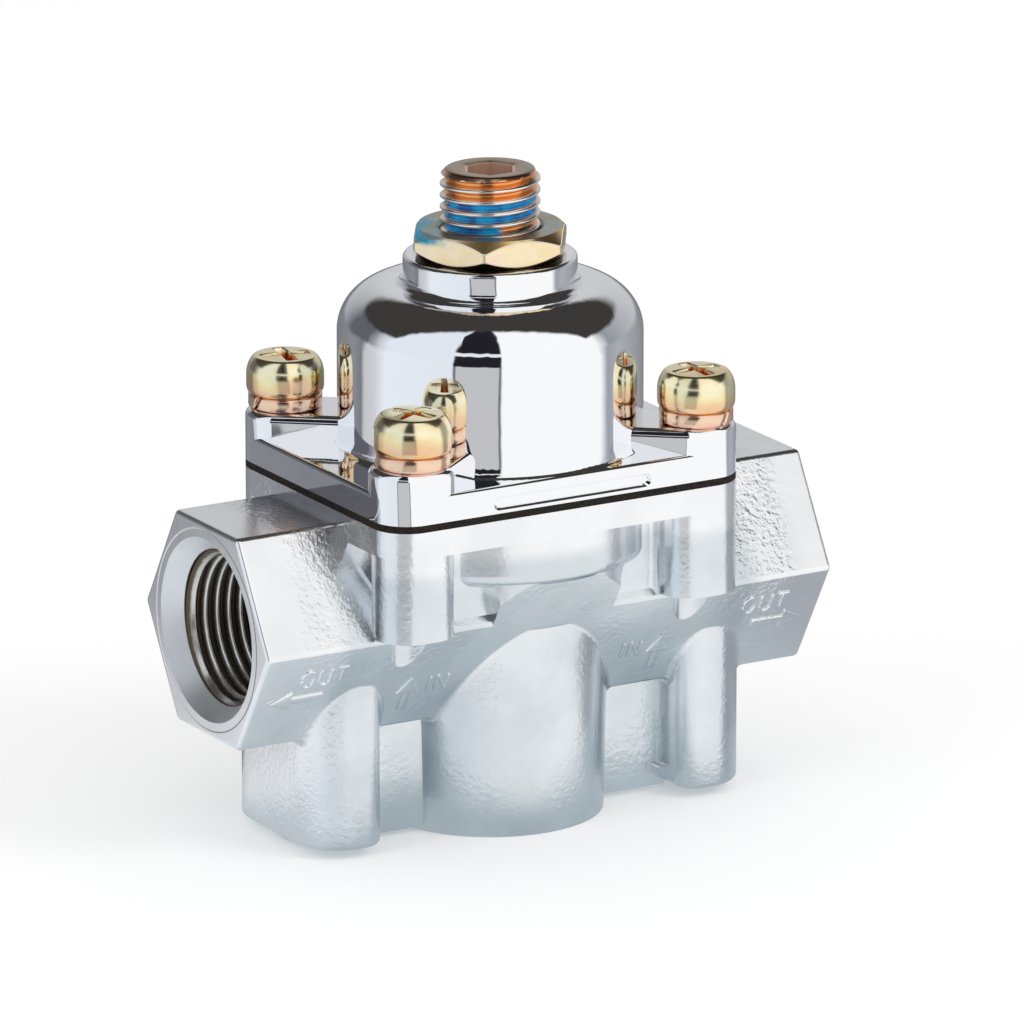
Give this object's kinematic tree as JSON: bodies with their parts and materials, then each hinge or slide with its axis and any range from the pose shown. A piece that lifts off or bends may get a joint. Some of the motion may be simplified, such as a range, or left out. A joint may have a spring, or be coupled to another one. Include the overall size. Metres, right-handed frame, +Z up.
{
  "type": "fuel pressure regulator",
  "caption": "Adjustable diaphragm fuel pressure regulator: hexagonal die-cast body with threaded inlet and outlets, chrome bell cover, hex-socket adjusting screw and jam nut.",
  "frame": {"origin": "on the bell's axis, in the flat bottom of the inlet boss", "axes": "+Z up the bell to the adjusting screw, X through both outlets, -Y the front"},
  "size_m": [0.0702, 0.036, 0.0712],
  "materials": {
    "zinc_casting": "clear zinc plated die casting, satin",
    "chrome_plate": "bright chrome plate",
    "diaphragm_rubber": "dark brown fabric-reinforced rubber",
    "yellow_zinc": "yellow chromated zinc on steel, iridescent, with blue thread lock",
    "yellow_zinc_nut": "yellow chromated zinc on steel, iridescent",
    "yellow_zinc_head": "yellow chromated zinc on steel, glossy",
    "yellow_zinc_washer": "yellow chromated zinc on spring steel",
    "steel": "plain pressed steel",
    "spring_steel": "drawn spring wire",
    "brass": "turned brass",
    "fibre_ring": "red-brown sealing fibre"
  },
  "bodies": {
    "housing": {"body": "zinc_casting", "cover": "chrome_plate", "diaphragm": "diaphragm_rubber", "cover_screw_1": "yellow_zinc_head", "cover_screw_2": "yellow_zinc_head", "cover_screw_3": "yellow_zinc_head", "cover_screw_4": "yellow_zinc_head", "lock_washer_1": "yellow_zinc_washer", "lock_washer_2": "yellow_zinc_washer", "lock_washer_3": "yellow_zinc_washer", "lock_washer_4": "yellow_zinc_washer", "valve_seat": "brass", "seat_ring": "fibre_ring", "valve_retainer": "steel", "valve_spring": "spring_steel"},
    "seat_slider": {"spring_seat": "steel"},
    "adjuster": {"adjusting_screw": "yellow_zinc"},
    "lock_nut": {"jam_nut": "yellow_zinc_nut"},
    "stack": {"upper_plate": "steel", "lower_plate": "steel", "diaphragm_rivet": "steel", "main_spring": "spring_steel"},
    "poppet": {"valve_poppet": "brass"}
  },
  "joints": [
    {"name": "seat_travel", "type": "slide", "parent": "housing", "child": "seat_slider", "axis": [0, 0, 1], "range_m": [-0.00381, 0.00127], "deforming": ["main_spring"]},
    {"name": "adjuster_turn", "type": "hinge", "parent": "seat_slider", "child": "adjuster", "pos_m": [0, 0, 0.0625], "axis": [0, 0, 1], "range_deg": [-1080, 360]},
    {"name": "nut_turn", "type": "hinge", "parent": "housing", "child": "lock_nut", "pos_m": [0, 0, 0.0635], "axis": [0, 0, 1], "range_deg": [0, 180]},
    {"name": "diaphragm_travel", "type": "slide", "parent": "housing", "child": "stack", "axis": [0, 0, 1], "range_m": [-0.001, 0], "stiffness_N_per_m": 400, "deforming": ["main_spring", "diaphragm"]},
    {"name": "poppet_travel", "type": "slide", "parent": "housing", "child": "poppet", "axis": [0, 0, 1], "range_m": [-0.001, 0], "deforming": ["valve_spring"]}
  ],
  "couplings": [
    {"joint": "adjuster_turn", "follows": "seat_travel", "rad_per_m": 4947.3},
    {"joint": "poppet_travel", "follows": "diaphragm_travel", "ratio": 1}
  ]
}
